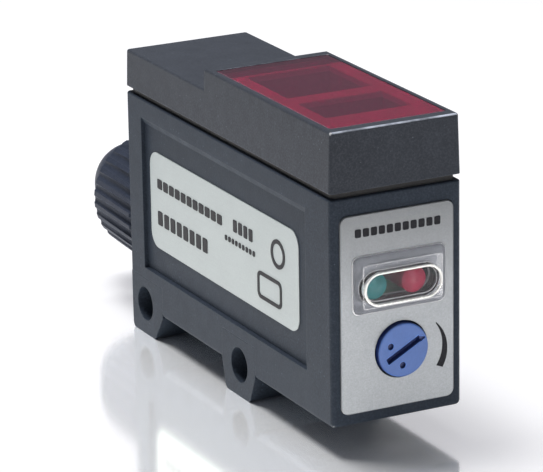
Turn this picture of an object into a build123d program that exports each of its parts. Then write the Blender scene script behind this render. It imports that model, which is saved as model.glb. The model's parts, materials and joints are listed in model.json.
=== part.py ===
"""Compact photoelectric sensor with a cable gland, on two mounting lugs.

Millimetres, +Z up. The front face, with the trimmer and the indicator window, looks
along -Y, and the cable gland leaves the back along +Y. The origin lies under the middle
of the whole object, at the level of the lugs' feet.
"""
import os
from math import asin, cos, radians, sin, sqrt

from build123d import *

os.makedirs("parts", exist_ok=True)

# ---------------------------------------------------------------- driving dimensions
body_width = 18.0
body_length = 57.4
body_height = 29.0
lug_height = 3.7
wall = 1.8
rear_wall = 2.2
edge_radius = 0.6

groove_height = 0.8
groove_depth = 0.55
head_rear_height = 4.9
head_step_height = 2.7
head_raised_length = 34.0
head_draft = 1.7
neck_depth = 2.2
neck_wall = 1.2

lug_hole_radius = 2.3
lug_hole_height = 0.56
rear_lug_inset = 4.35
lug_spacing = 27.9

window_width = 16.0
window_length = 30.6
window_front_border = 1.75
filter_thickness = 1.1
filter_ledge = 0.8
frame_plate_thickness = 0.8
chamber_width = 11.7
chamber_x = 0.55
rear_chamber_length = 11.3
front_chamber_length = 7.4

plate_width = 15.6
plate_height = 25.2
plate_bottom = 1.6
plate_thickness = 0.55
plate_proud = 0.25

lens_x = 0.15
lens_width = 12.9
lens_height = 7.5
lens_centre_height = 17.9
lens_bevel_depth = 1.15
lens_bevel_inset = 1.0
lens_rim_proud = 0.25
plug_length = 10.8
plug_height = 4.2
plug_wall = 0.35
lens_gap = 0.03

guide_radius = 1.65
green_guide_x = -3.1
red_guide_x = 2.3
guide_height = 17.45

trimmer_x = 0.45
trimmer_height = 8.9
trimmer_radius = 3.45
trimmer_proud = 0.87

gland_height = 10.35
gland_thread_radius = 6.0
nut_start = 1.0
nut_rib_end = 13.6
nut_tip_radius = 8.5
nut_end_tip_radius = 8.15
nut_rib_count = 30
nose_radius = 6.3
nose_length = 8.4
nut_mouth_radius = 3.2
cable_radius = 2.6

running_gap = 0.1
print_thickness = 0.06

# ---------------------------------------------------------------- derived places
nut_reach = nut_rib_end + nose_length
front_reach = plate_proud + lens_bevel_depth + lens_rim_proud
overall_length = front_reach + body_length + nut_reach
front = front_reach - overall_length / 2
rear = front + body_length
half_width = body_width / 2

base = lug_height
body_top = base + body_height
head_bottom = body_top + groove_height
rear_top = head_bottom + head_rear_height
raised_top = rear_top + head_step_height
step_y = front + head_raised_length

rear_hole_y = rear - rear_lug_inset
front_hole_y = rear_hole_y - lug_spacing
hole_z = base + lug_hole_height

cavity_half = half_width - wall
cavity_front = front + wall
cavity_rear = rear - rear_wall

recess_depth = 0.6
recess_bevel = 1.0
recess_bottom = 5.7
recess_top = 26.5
recess_front = front + 6.6
recess_rear = rear - 4.5

screw_y = rear - 16.7
column_radius = 3.2
screw_radius = 1.25
screw_head_radius = 2.2
screw_head_height = 1.5
counterbore_depth = 2.3
screw_tip = rear_top - 1.6

window_front = front + window_front_border
window_y = window_front + window_length / 2
frame_plate_rear = front + 29.5
frame_plate_length = frame_plate_rear - window_front
frame_plate_y = window_front + frame_plate_length / 2
frame_plate_bottom = raised_top - filter_thickness - 0.05 - frame_plate_thickness
ledge_bottom = frame_plate_bottom - filter_ledge

front_face = Plane(origin=(0, front, base), x_dir=(1, 0, 0), z_dir=(0, -1, 0))
left_face = Plane(origin=(-half_width, 0, base), x_dir=(0, -1, 0), z_dir=(-1, 0, 0))
right_face = Plane(origin=(half_width, 0, base), x_dir=(0, 1, 0), z_dir=(1, 0, 0))
gland_origin = (0, rear, base + gland_height)
gland_profile = Plane(origin=gland_origin, x_dir=(0, 1, 0), z_dir=(1, 0, 0))
gland_face = Plane(origin=gland_origin, x_dir=(1, 0, 0), z_dir=(0, 1, 0))
gland_axis = Axis(gland_origin, (0, 1, 0))
trimmer_origin = (trimmer_x, front, base + trimmer_height)
trimmer_face = Plane(origin=trimmer_origin, x_dir=(1, 0, 0), z_dir=(0, -1, 0))
lens_origin = (lens_x, front, base + lens_centre_height)
lens_face = Plane(origin=lens_origin, x_dir=(1, 0, 0), z_dir=(0, -1, 0))
plug_origin = (lens_x, front, base + guide_height)
plug_face = Plane(origin=plug_origin, x_dir=(1, 0, 0), z_dir=(0, -1, 0))

# ---------------------------------------------------------------- housing
# Each lug: its hole's y, then how far heel and toe reach from the hole where they meet
# the body. The feet are alike, and the toe slants.
lugs = ((rear_hole_y, 4.0, 5.3), (front_hole_y, 4.9, 4.4))
foot_back = 3.9
foot_front = 2.75
foot_radius = 0.8
lug_top = 4.2
column_top = body_top - 0.2
recess_length = recess_rear - recess_front
recess_centre = (recess_rear + recess_front) / 2
recess_height = recess_top - recess_bottom
seal_radius = 2.2
shaft_radius = 1.5
cap_depth = 1.05
seal_boss_length = 1.6
hook_width = 8.0
hook_reach = 0.5


def lug_outline(hole_y, heel, toe):
    """Corners of a lug seen from the side, from inside the body down to its foot."""
    return (
        (hole_y + heel, base + lug_top),
        (hole_y + heel, base),
        (hole_y + foot_back, 0),
        (hole_y - foot_front, 0),
        (hole_y - toe, base),
        (hole_y - toe, base + lug_top),
    )


with BuildPart() as housing:
    with BuildSketch(Plane.XY.offset(base)):
        with Locations((0, (front + rear) / 2)):
            RectangleRounded(body_width, body_length, edge_radius)
    extrude(amount=body_height)
    fillet(housing.faces().sort_by(Axis.Z)[0].edges(), 0.7)
    fillet(housing.faces().sort_by(Axis.Z)[-1].edges(), 0.25)
    with BuildSketch(Plane.XY.offset(base + wall)):
        with Locations((0, (cavity_front + cavity_rear) / 2)):
            Rectangle(2 * cavity_half, cavity_rear - cavity_front)
    extrude(amount=body_height, mode=Mode.SUBTRACT)
    # column for the head screw
    with BuildSketch(Plane.XY.offset(base + 0.5)):
        with Locations((0, screw_y)):
            Circle(column_radius)
    extrude(amount=column_top - base - 0.5)
    # boss that holds the trimmer's shaft seal
    with BuildSketch(trimmer_face.offset(-wall - seal_boss_length)):
        Circle(seal_radius + 1.0)
    extrude(amount=seal_boss_length + 0.3)
    # shallow recess on both sides, with a sloping top wall
    for side in (left_face, right_face):
        middle = -recess_centre if side is left_face else recess_centre
        with BuildSketch(side.offset(-recess_depth)):
            with Locations((middle, (recess_bottom + recess_top - recess_bevel) / 2)):
                Rectangle(recess_length, recess_height - recess_bevel)
        with BuildSketch(side.offset(0.01)):
            with Locations((middle, (recess_bottom + recess_top) / 2)):
                Rectangle(recess_length + 0.1, recess_height)
        loft(mode=Mode.SUBTRACT)
    # room for the two lug blocks, which run through from side to side
    for hole_y, heel, toe in lugs:
        with BuildSketch(Plane.YZ):
            with BuildLine():
                Polyline(*lug_outline(hole_y, heel, toe), close=True)
            make_face()
        extrude(amount=half_width + 1, both=True, mode=Mode.SUBTRACT)
    # screw hole with its counterbore, from below
    with BuildSketch(Plane.XY.offset(base)):
        with Locations((0, screw_y)):
            Circle(screw_head_radius + 0.15)
    extrude(amount=counterbore_depth, mode=Mode.SUBTRACT)
    with BuildSketch(Plane.XY.offset(base)):
        with Locations((0, screw_y)):
            Circle(screw_radius + 0.15)
    extrude(amount=body_height, mode=Mode.SUBTRACT)
    # seat of the front plate, openings for the indicator window and the trimmer
    with BuildSketch(front_face):
        with Locations((0, plate_bottom + plate_height / 2)):
            RectangleRounded(plate_width + 0.1, plate_height + 0.1, 1.05)
    extrude(amount=plate_proud - plate_thickness, mode=Mode.SUBTRACT)
    with BuildSketch(plug_face):
        SlotOverall(plug_length + 0.1, plug_height + 0.1)
    extrude(amount=-wall, mode=Mode.SUBTRACT)
    with BuildSketch(trimmer_face):
        Circle(trimmer_radius + running_gap)
    extrude(amount=-cap_depth, mode=Mode.SUBTRACT)
    with BuildSketch(trimmer_face):
        Circle(shaft_radius + running_gap)
    extrude(amount=-wall, mode=Mode.SUBTRACT)
    with BuildSketch(trimmer_face.offset(-wall)):
        Circle(seal_radius)
    extrude(amount=-seal_boss_length, mode=Mode.SUBTRACT)
    # threaded hole for the gland
    with BuildSketch(gland_face):
        Circle(gland_thread_radius)
    extrude(amount=-rear_wall, mode=Mode.SUBTRACT)
    # pocket behind the front wall for the head's hook
    with BuildSketch(Plane.XY.offset(body_top - 2.0)):
        with Locations((0, cavity_front)):
            Rectangle(hook_width + 0.2, 2 * (hook_reach + 0.1))
    extrude(amount=1.1, mode=Mode.SUBTRACT)
housing.part.label = "housing"
export_step(housing.part, "parts/housing.step")

# Each lug block is bonded into the housing and carries one mounting hole along X.
with BuildPart() as rear_lug:
    with BuildSketch(Plane.YZ):
        with BuildLine():
            Polyline(*lug_outline(*lugs[0]), close=True)
        make_face()
    extrude(amount=half_width, both=True)
    fillet([e for e in rear_lug.edges().filter_by(Axis.X) if e.center().Z < 0.01], foot_radius)
    with BuildSketch(Plane.YZ):
        with Locations((rear_hole_y, hole_z)):
            Circle(lug_hole_radius)
    extrude(amount=half_width, both=True, mode=Mode.SUBTRACT)
rear_lug.part.label = "rear_lug"
export_step(rear_lug.part, "parts/rear_lug.step")

with BuildPart() as front_lug:
    with BuildSketch(Plane.YZ):
        with BuildLine():
            Polyline(*lug_outline(*lugs[1]), close=True)
        make_face()
    extrude(amount=half_width, both=True)
    fillet([e for e in front_lug.edges().filter_by(Axis.X) if e.center().Z < 0.01], foot_radius)
    with BuildSketch(Plane.YZ):
        with Locations((front_hole_y, hole_z)):
            Circle(lug_hole_radius)
    extrude(amount=half_width, both=True, mode=Mode.SUBTRACT)
front_lug.part.label = "front_lug"
export_step(front_lug.part, "parts/front_lug.step")

# ---------------------------------------------------------------- head
head_radius = 0.5
flange_height = 1.2
neck_play = 0.05
neck_half = cavity_half - neck_play
neck_front = cavity_front + neck_play
neck_rear = cavity_rear - neck_play
neck_y = (neck_front + neck_rear) / 2
neck_length = neck_rear - neck_front
ceiling = 1.6
step_wall = 1.2
body_y = (front + rear) / 2
head_floor = head_bottom + flange_height

with BuildPart() as head_cover:
    with BuildSketch(Plane.XY.offset(head_bottom)):
        with Locations((0, body_y)):
            RectangleRounded(body_width, body_length, head_radius)
    extrude(amount=head_rear_height + head_step_height, taper=head_draft)
    with BuildSketch(Plane.XY.offset(rear_top)):
        with Locations((0, (step_y + rear + 1) / 2)):
            Rectangle(body_width + 2, rear + 1 - step_y)
    extrude(amount=head_step_height + 1, mode=Mode.SUBTRACT)
    levels = head_cover.faces().filter_by(Axis.Z).sort_by(Axis.Z)
    lower_edges = [e for e in levels[-2].edges() if e.center().Y > step_y + 0.1]
    fillet(levels[-1].edges(), 0.35)
    fillet(lower_edges, 0.3)
    # hollow above the inner flange: raised part, then the lower part behind it
    with BuildSketch(Plane.XY.offset(head_floor)):
        with Locations((0, (cavity_front + step_y - step_wall) / 2)):
            Rectangle(2 * cavity_half, step_y - step_wall - cavity_front)
    extrude(amount=ledge_bottom - head_floor, mode=Mode.SUBTRACT)
    with BuildSketch(Plane.XY.offset(head_floor)):
        with Locations((0, (cavity_front + cavity_rear) / 2)):
            Rectangle(2 * cavity_half, cavity_rear - cavity_front)
    extrude(amount=rear_top - ceiling - head_floor, mode=Mode.SUBTRACT)
    # neck that plugs into the housing, its hook, and the throat through both
    with BuildSketch(Plane.XY.offset(body_top - neck_depth)):
        with Locations((0, neck_y)):
            RectangleRounded(2 * neck_half, neck_length, 0.8)
    extrude(amount=neck_depth + groove_height)
    with BuildSketch(Plane.XY.offset(body_top - 1.9)):
        with Locations((0, neck_front)):
            Rectangle(hook_width, 2 * hook_reach)
    extrude(amount=0.9)
    with BuildSketch(Plane.XY.offset(body_top - neck_depth)):
        with Locations((0, neck_y)):
            Rectangle(2 * (neck_half - neck_wall), neck_length - 2 * neck_wall)
    extrude(amount=head_floor - body_top + neck_depth, mode=Mode.SUBTRACT)
    # pocket for the window filter, the optics frame's seat below it, and their ledge
    with BuildSketch(Plane.XY.offset(raised_top - filter_thickness)):
        with Locations((0, window_y)):
            RectangleRounded(window_width, window_length, 0.3)
    extrude(amount=filter_thickness, mode=Mode.SUBTRACT)
    with BuildSketch(Plane.XY.offset(frame_plate_bottom)):
        with Locations((0, frame_plate_y)):
            RectangleRounded(window_width, frame_plate_length, 0.3)
    extrude(amount=frame_plate_thickness + 0.05, mode=Mode.SUBTRACT)
    with BuildSketch(Plane.XY.offset(ledge_bottom)):
        with Locations((0, window_y)):
            Rectangle(window_width - 2 * filter_ledge, window_length - 2 * filter_ledge)
    extrude(amount=raised_top - filter_thickness - ledge_bottom, mode=Mode.SUBTRACT)
    # boss for the head screw
    with BuildSketch(Plane.XY.offset(column_top)):
        with Locations((0, screw_y)):
            Circle(column_radius - 0.4)
    extrude(amount=rear_top - ceiling - column_top)
    with BuildSketch(Plane.XY.offset(column_top)):
        with Locations((0, screw_y)):
            Circle(screw_radius)
    extrude(amount=rear_top - ceiling + 0.4 - column_top, mode=Mode.SUBTRACT)
head_cover.part.label = "head_cover"
export_step(head_cover.part, "parts/head_cover.step")

with BuildPart() as head_gasket:
    with BuildSketch(Plane.XY.offset(body_top)):
        with Locations((0, body_y)):
            RectangleRounded(body_width - 2 * groove_depth, body_length - 2 * groove_depth, 0.7)
        with Locations((0, (cavity_front + cavity_rear) / 2)):
            Rectangle(2 * cavity_half, cavity_rear - cavity_front, mode=Mode.SUBTRACT)
    extrude(amount=groove_height)
head_gasket.part.label = "head_gasket"
export_step(head_gasket.part, "parts/head_gasket.step")

with BuildPart() as window_filter:
    with BuildSketch(Plane.XY.offset(raised_top - filter_thickness)):
        with Locations((0, window_y)):
            RectangleRounded(window_width - 0.1, window_length - 0.1, 0.25)
    extrude(amount=filter_thickness - 0.05)
    chamfer(window_filter.faces().sort_by(Axis.Z)[-1].edges(), 0.12)
window_filter.part.label = "window_filter"
export_step(window_filter.part, "parts/window_filter.step")


def dome_middle(radius, sag):
    """Half-way point of a spherical dome's profile, as (distance from the axis, height)."""
    sphere = (radius**2 + sag**2) / (2 * sag)
    half_angle = asin(radius / sphere) / 2
    return (sphere * sin(half_angle), sag - sphere * (1 - cos(half_angle)))


# ---------------------------------------------------------------- optics
box_width = window_width - 2 * filter_ledge - 0.2
box_length = window_length - 2 * filter_ledge - 0.2
divider = 2.7
rear_chamber_y = frame_plate_rear - 0.5 - rear_chamber_length / 2
front_chamber_y = rear_chamber_y - (rear_chamber_length + front_chamber_length) / 2 - divider
chambers = ((rear_chamber_y, rear_chamber_length), (front_chamber_y, front_chamber_length))
lens_slab = 1.0
lens_sag = 1.1
emitter_lens_radius = 3.4
receiver_lens_radius = 4.6
optics_board_z = base + 21.0
board_thickness = 1.2
tubes_bottom = optics_board_z + board_thickness
tube_half_width = 5.85
tube_mouth_width = 9.9
tube_margin = 0.7
sensor_hole = 5.2

with BuildPart() as optics_frame:
    with BuildSketch(Plane.XY.offset(frame_plate_bottom)):
        with Locations((0, frame_plate_y)):
            RectangleRounded(window_width - 0.1, frame_plate_length - 0.1, 0.25)
        for chamber_y, chamber_length in chambers:
            with Locations((chamber_x, chamber_y)):
                Rectangle(chamber_width, chamber_length, mode=Mode.SUBTRACT)
    extrude(amount=frame_plate_thickness)
    openings = optics_frame.faces().sort_by(Axis.Z)[-1].inner_wires()
    chamfer([edge for wire in openings for edge in wire.edges()], 0.15)
optics_frame.part.label = "optics_frame"
export_step(optics_frame.part, "parts/optics_frame.step")

with BuildPart() as chamber_box:
    with BuildSketch(Plane.XY.offset(head_floor)):
        with Locations((0, window_y)):
            Rectangle(box_width, box_length)
        for chamber_y, chamber_length in chambers:
            with Locations((chamber_x, chamber_y)):
                Rectangle(chamber_width, chamber_length, mode=Mode.SUBTRACT)
    extrude(amount=frame_plate_bottom - head_floor)
chamber_box.part.label = "chamber_box"
export_step(chamber_box.part, "parts/chamber_box.step")

with BuildPart() as emitter_lens:
    with BuildSketch(Plane.XY.offset(head_floor)):
        with Locations((chamber_x, front_chamber_y)):
            Rectangle(chamber_width - 0.1, front_chamber_length - 0.1)
    extrude(amount=lens_slab)
    crown = (chamber_x, front_chamber_y, head_floor + lens_slab)
    with BuildSketch(Plane(origin=crown, x_dir=(1, 0, 0), z_dir=(0, -1, 0))):
        with BuildLine():
            Line((0, 0), (emitter_lens_radius, 0))
            dome_side = dome_middle(emitter_lens_radius, lens_sag)
            ThreePointArc((emitter_lens_radius, 0), dome_side, (0, lens_sag))
            Line((0, lens_sag), (0, 0))
        make_face()
    revolve(axis=Axis(crown, (0, 0, 1)))
emitter_lens.part.label = "emitter_lens"
export_step(emitter_lens.part, "parts/emitter_lens.step")

with BuildPart() as receiver_lens:
    with BuildSketch(Plane.XY.offset(head_floor)):
        with Locations((chamber_x, rear_chamber_y)):
            Rectangle(chamber_width - 0.1, rear_chamber_length - 0.1)
    extrude(amount=lens_slab)
    crown = (chamber_x, rear_chamber_y, head_floor + lens_slab)
    with BuildSketch(Plane(origin=crown, x_dir=(1, 0, 0), z_dir=(0, -1, 0))):
        with BuildLine():
            Line((0, 0), (receiver_lens_radius, 0))
            dome_side = dome_middle(receiver_lens_radius, lens_sag)
            ThreePointArc((receiver_lens_radius, 0), dome_side, (0, lens_sag))
            Line((0, lens_sag), (0, 0))
        make_face()
    revolve(axis=Axis(crown, (0, 0, 1)))
receiver_lens.part.label = "receiver_lens"
export_step(receiver_lens.part, "parts/receiver_lens.step")

tubes_front = front_chamber_y - front_chamber_length / 2 - tube_margin
tubes_rear = rear_chamber_y + rear_chamber_length / 2 + tube_margin
with BuildPart() as light_tubes:
    with BuildSketch(Plane.XY.offset(tubes_bottom)):
        with Locations((0, (tubes_front + tubes_rear) / 2)):
            Rectangle(2 * tube_half_width, tubes_rear - tubes_front)
    extrude(amount=head_floor - tubes_bottom)
    for chamber_y, chamber_length in chambers:
        with BuildSketch(Plane.XY.offset(tubes_bottom)):
            with Locations((chamber_x, chamber_y)):
                Rectangle(sensor_hole, sensor_hole)
        with BuildSketch(Plane.XY.offset(head_floor)):
            with Locations((chamber_x, chamber_y)):
                Rectangle(tube_mouth_width, chamber_length - 1.4)
        loft(mode=Mode.SUBTRACT)
light_tubes.part.label = "light_tubes"
export_step(light_tubes.part, "parts/light_tubes.step")

# ---------------------------------------------------------------- electronics
with BuildPart() as optics_board:
    with BuildSketch(Plane.XY.offset(optics_board_z)):
        with Locations((0, (tubes_front + tubes_rear) / 2)):
            RectangleRounded(2 * tube_half_width, tubes_rear - tubes_front + 1.6, 0.5)
    extrude(amount=board_thickness)
optics_board.part.label = "optics_board"
export_step(optics_board.part, "parts/optics_board.step")

with BuildPart() as emitter_led:
    with BuildSketch(Plane.XY.offset(tubes_bottom)):
        with Locations((chamber_x, front_chamber_y)):
            Circle(2.4)
    extrude(amount=0.8)
    with BuildSketch(Plane.XY.offset(tubes_bottom + 0.8)):
        with Locations((chamber_x, front_chamber_y)):
            Circle(1.9)
    extrude(amount=1.9)
    fillet(emitter_led.faces().sort_by(Axis.Z)[-1].edges(), 1.5)
emitter_led.part.label = "emitter_led"
export_step(emitter_led.part, "parts/emitter_led.step")

with BuildPart() as receiver_photodiode:
    with BuildSketch(Plane.XY.offset(tubes_bottom)):
        with Locations((chamber_x, rear_chamber_y)):
            Rectangle(4.8, 4.4)
    extrude(amount=1.2)
    chamfer(receiver_photodiode.faces().sort_by(Axis.Z)[-1].edges(), 0.2)
receiver_photodiode.part.label = "receiver_photodiode"
export_step(receiver_photodiode.part, "parts/receiver_photodiode.step")

main_board_x = 3.6
main_board_front = front + 9.2
main_board_rear = rear - 6.2
main_board_bottom = base + 4.8
main_board_top = base + 19.6
main_board_face = Plane(origin=(main_board_x, 0, base), x_dir=(0, -1, 0), z_dir=(-1, 0, 0))

with BuildPart() as main_board:
    with BuildSketch(main_board_face):
        middle_y = (main_board_front + main_board_rear) / 2
        middle_height = (main_board_bottom + main_board_top) / 2 - base
        with Locations((-middle_y, middle_height)):
            Rectangle(main_board_rear - main_board_front, main_board_top - main_board_bottom)
    extrude(amount=-board_thickness)
main_board.part.label = "main_board"
export_step(main_board.part, "parts/main_board.step")

chip_y = front + 17.0
with BuildPart() as control_chip:
    with BuildSketch(main_board_face):
        with Locations((-chip_y, 12.0)):
            Rectangle(7.0, 7.0)
    extrude(amount=1.1)
    chamfer(control_chip.faces().sort_by(Axis.X)[0].edges(), 0.2)
    # index dimple, and the leads along two sides
    with BuildSketch(main_board_face.offset(1.1)):
        with Locations((-chip_y - 2.4, 14.4)):
            Circle(0.4)
    extrude(amount=-0.2, mode=Mode.SUBTRACT)
    with BuildSketch(main_board_face):
        with Locations((-chip_y, 12.0)):
            with GridLocations(1.0, 8.2, 6, 2):
                Rectangle(0.4, 1.3)
    extrude(amount=0.35)
control_chip.part.label = "control_chip"
export_step(control_chip.part, "parts/control_chip.step")

transistor_y = front + 25.2
with BuildPart() as output_transistor:
    with BuildSketch(main_board_face):
        with Locations((-transistor_y, 13.6)):
            Rectangle(5.4, 5.0)
    extrude(amount=2.0)
    chamfer(output_transistor.faces().sort_by(Axis.X)[0].edges(), 0.3)
    with BuildSketch(main_board_face):
        with Locations((-transistor_y, 10.2)):
            with GridLocations(1.8, 0, 3, 1):
                Rectangle(0.6, 2.0)
    extrude(amount=0.5)
output_transistor.part.label = "output_transistor"
export_step(output_transistor.part, "parts/output_transistor.step")

capacitor_y = front + 32.6
capacitor_radius = 2.1
with BuildPart() as filter_capacitor:
    with BuildSketch(Plane.XY.offset(base + 8.0)):
        with Locations((main_board_x - capacitor_radius, capacitor_y)):
            Circle(capacitor_radius)
    extrude(amount=7.5)
    fillet(filter_capacitor.edges().filter_by(GeomType.CIRCLE), 0.3)
filter_capacitor.part.label = "filter_capacitor"
export_step(filter_capacitor.part, "parts/filter_capacitor.step")

connector_y = front + 20.0
with BuildPart() as board_connector:
    with BuildSketch(Plane.XY.offset(main_board_top)):
        with Locations((main_board_x + board_thickness / 2, connector_y)):
            Rectangle(2.4, 9.0)
    extrude(amount=optics_board_z - main_board_top)
board_connector.part.label = "board_connector"
export_step(board_connector.part, "parts/board_connector.step")

terminal_front = screw_y + column_radius + 0.2
terminal_depth = 7.0
terminal_left = -6.6
terminal_width = main_board_x - 0.05 - terminal_left
terminal_bottom = base + 4.9
terminal_height = 9.0
terminal_pitch = 2.45
terminal_top = terminal_bottom + terminal_height
terminal_centre = (terminal_left + terminal_width / 2, terminal_front + terminal_depth / 2)
with BuildPart() as terminal_block:
    with BuildSketch(Plane.XY.offset(terminal_bottom)):
        with Locations(terminal_centre):
            Rectangle(terminal_width, terminal_depth)
    extrude(amount=terminal_height)
    with BuildSketch(Plane.XY.offset(terminal_top)):
        with Locations(terminal_centre):
            with GridLocations(terminal_pitch, 0, 4, 1):
                Circle(1.0)
    extrude(amount=-2.4, mode=Mode.SUBTRACT)
    with BuildSketch(Plane.XZ.offset(-terminal_front - terminal_depth)):
        with Locations((terminal_centre[0], terminal_bottom + 3.2)):
            with GridLocations(terminal_pitch, 0, 4, 1):
                Rectangle(1.7, 2.4)
    extrude(amount=4.0, mode=Mode.SUBTRACT)
terminal_block.part.label = "terminal_block"
export_step(terminal_block.part, "parts/terminal_block.step")

with BuildPart() as terminal_screws:
    with BuildSketch(Plane.XY.offset(terminal_top - 2.4)):
        with Locations(terminal_centre):
            with GridLocations(terminal_pitch, 0, 4, 1):
                Circle(0.95)
    extrude(amount=1.6)
    with BuildSketch(Plane.XY.offset(terminal_top - 0.8)):
        with Locations(terminal_centre):
            with GridLocations(terminal_pitch, 0, 4, 1):
                Rectangle(1.9, 0.35)
    extrude(amount=-0.5, mode=Mode.SUBTRACT)
terminal_screws.part.label = "terminal_screws"
export_step(terminal_screws.part, "parts/terminal_screws.step")

indicator_board_depth = 7.2
indicator_board_top = 20.6
indicator_board_bottom = 4.8
with BuildPart() as indicator_board:
    with BuildSketch(front_face.offset(-indicator_board_depth - 1.0)):
        with Locations((0, (indicator_board_top + indicator_board_bottom) / 2)):
            Rectangle(12.0, indicator_board_top - indicator_board_bottom)
    extrude(amount=1.0)
indicator_board.part.label = "indicator_board"
export_step(indicator_board.part, "parts/indicator_board.step")

with BuildPart() as side_connector:
    with BuildSketch(front_face.offset(-main_board_front + front)):
        with Locations((main_board_x + board_thickness / 2, 12.0)):
            Rectangle(2.4, 7.6)
    extrude(amount=main_board_front - front - indicator_board_depth - 1.0)
side_connector.part.label = "side_connector"
export_step(side_connector.part, "parts/side_connector.step")

chip_height = 0.8
with BuildPart() as indicator_leds:
    with BuildSketch(front_face.offset(-indicator_board_depth)):
        with Locations((green_guide_x, guide_height), (red_guide_x, guide_height)):
            Rectangle(2.0, 1.6)
    extrude(amount=chip_height)
indicator_leds.part.label = "indicator_leds"
export_step(indicator_leds.part, "parts/indicator_leds.step")

# ---------------------------------------------------------------- indicator window and guides
guide_start = -indicator_board_depth + chip_height
guide_tip = 0.35
guide_dome = 0.55
dome_start = guide_tip - guide_dome
dome_reach, dome_rise = dome_middle(guide_radius, guide_dome)
green_guide_origin = (green_guide_x, front, base + guide_height)
red_guide_origin = (red_guide_x, front, base + guide_height)

with BuildPart() as green_guide:
    with BuildSketch(Plane(origin=green_guide_origin, x_dir=(0, -1, 0), z_dir=(-1, 0, 0))):
        with BuildLine():
            Polyline(
                (guide_tip, 0), (guide_start, 0), (guide_start, guide_radius), (dome_start, guide_radius)
            )
            dome_side = (dome_start + dome_rise, dome_reach)
            ThreePointArc((dome_start, guide_radius), dome_side, (guide_tip, 0))
        make_face()
    revolve(axis=Axis(green_guide_origin, (0, -1, 0)))
green_guide.part.label = "green_guide"
export_step(green_guide.part, "parts/green_guide.step")

with BuildPart() as red_guide:
    with BuildSketch(Plane(origin=red_guide_origin, x_dir=(0, -1, 0), z_dir=(-1, 0, 0))):
        with BuildLine():
            Polyline(
                (guide_tip, 0), (guide_start, 0), (guide_start, guide_radius), (dome_start, guide_radius)
            )
            dome_side = (dome_start + dome_rise, dome_reach)
            ThreePointArc((dome_start, guide_radius), dome_side, (guide_tip, 0))
        make_face()
    revolve(axis=Axis(red_guide_origin, (0, -1, 0)))
red_guide.part.label = "red_guide"
export_step(red_guide.part, "parts/red_guide.step")

lens_tip = plate_proud + lens_bevel_depth
rim_length = 10.8
rim_height = 4.3
rim_width = 0.3
top_width = lens_width - 2 * lens_bevel_inset
top_height = lens_height - 2 * lens_bevel_inset
with BuildPart() as led_window:
    with BuildSketch(lens_face.offset(plate_proud + lens_gap)):
        RectangleRounded(lens_width, lens_height, 0.9)
    with BuildSketch(lens_face.offset(lens_tip)):
        RectangleRounded(top_width, top_height, 0.4)
    loft()
    # plug through the plate and the wall, hollow for the light guides
    with BuildSketch(plug_face.offset(-wall)):
        SlotOverall(plug_length, plug_height)
    extrude(amount=wall + plate_proud + lens_gap)
    with BuildSketch(plug_face.offset(-wall)):
        SlotOverall(plug_length - 2 * plug_wall, plug_height - 2 * plug_wall)
    extrude(amount=wall + guide_tip + 0.1, mode=Mode.SUBTRACT)
led_window.part.label = "led_window"
export_step(led_window.part, "parts/led_window.step")

with BuildPart() as indicator_rim:
    with BuildSketch(plug_face.offset(lens_tip)):
        SlotOverall(rim_length, rim_height)
        SlotOverall(rim_length - 2 * rim_width, rim_height - 2 * rim_width, mode=Mode.SUBTRACT)
    extrude(amount=lens_rim_proud)
    fillet(indicator_rim.faces().sort_by(Axis.Y)[0].edges(), 0.12)
indicator_rim.part.label = "indicator_rim"
export_step(indicator_rim.part, "parts/indicator_rim.step")

# ---------------------------------------------------------------- front plate and its print
with BuildPart() as front_plate:
    with BuildSketch(front_face.offset(plate_proud)):
        with Locations((0, plate_bottom + plate_height / 2)):
            RectangleRounded(plate_width, plate_height, 1.0)
        with Locations((lens_x, guide_height)):
            SlotOverall(plug_length + 0.1, plug_height + 0.1, mode=Mode.SUBTRACT)
        with Locations((trimmer_x, trimmer_height)):
            Circle(trimmer_radius + 0.2, mode=Mode.SUBTRACT)
    extrude(amount=-plate_thickness)
    chamfer(front_plate.faces().sort_by(Axis.Y)[0].outer_wire().edges(), 0.1)
front_plate.part.label = "front_plate"
export_step(front_plate.part, "parts/front_plate.step")

# A crescent that widens downwards beside the trimmer, and a row of plain blocks above the window.
crescent_x = 2.1
crescent_z = 8.0


def crescent_point(radius, angle):
    """A point of the crescent, from its centre, in the front face's coordinates."""
    return (crescent_x + radius * cos(radians(angle)), crescent_z + radius * sin(radians(angle)))


plate_row_height = 24.5
plate_block_pitch = 1.09
plate_block_count = 11
with BuildPart() as plate_marks:
    with BuildSketch(front_face.offset(plate_proud)):
        with BuildLine():
            ThreePointArc(crescent_point(4.75, 47), crescent_point(4.75, 8), crescent_point(4.75, -31))
            Line(crescent_point(4.75, -31), crescent_point(3.85, -33))
            ThreePointArc(crescent_point(3.85, -33), crescent_point(4.05, 0), crescent_point(4.62, 47))
            Line(crescent_point(4.62, 47), crescent_point(4.75, 47))
        make_face()
        with Locations((0.05, plate_row_height)):
            with GridLocations(plate_block_pitch, 0, plate_block_count, 1):
                RectangleRounded(0.82, 1.05, 0.18)
    extrude(amount=print_thickness)
plate_marks.part.label = "plate_marks"
export_step(plate_marks.part, "parts/plate_marks.step")

# ---------------------------------------------------------------- side label and its print
label_thickness = 0.12
label_length = 42.2
label_height = 13.1
label_radius = 2.1
label_middle_height = 15.85
label_middle = -(rear - 5.9 - label_length / 2)
label_floor = left_face.offset(-recess_depth)
with BuildPart() as side_label:
    with BuildSketch(label_floor):
        with Locations((label_middle, label_middle_height)):
            RectangleRounded(label_length, label_height, label_radius)
    extrude(amount=label_thickness)
side_label.part.label = "side_label"
export_step(side_label.part, "parts/side_label.step")

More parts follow.
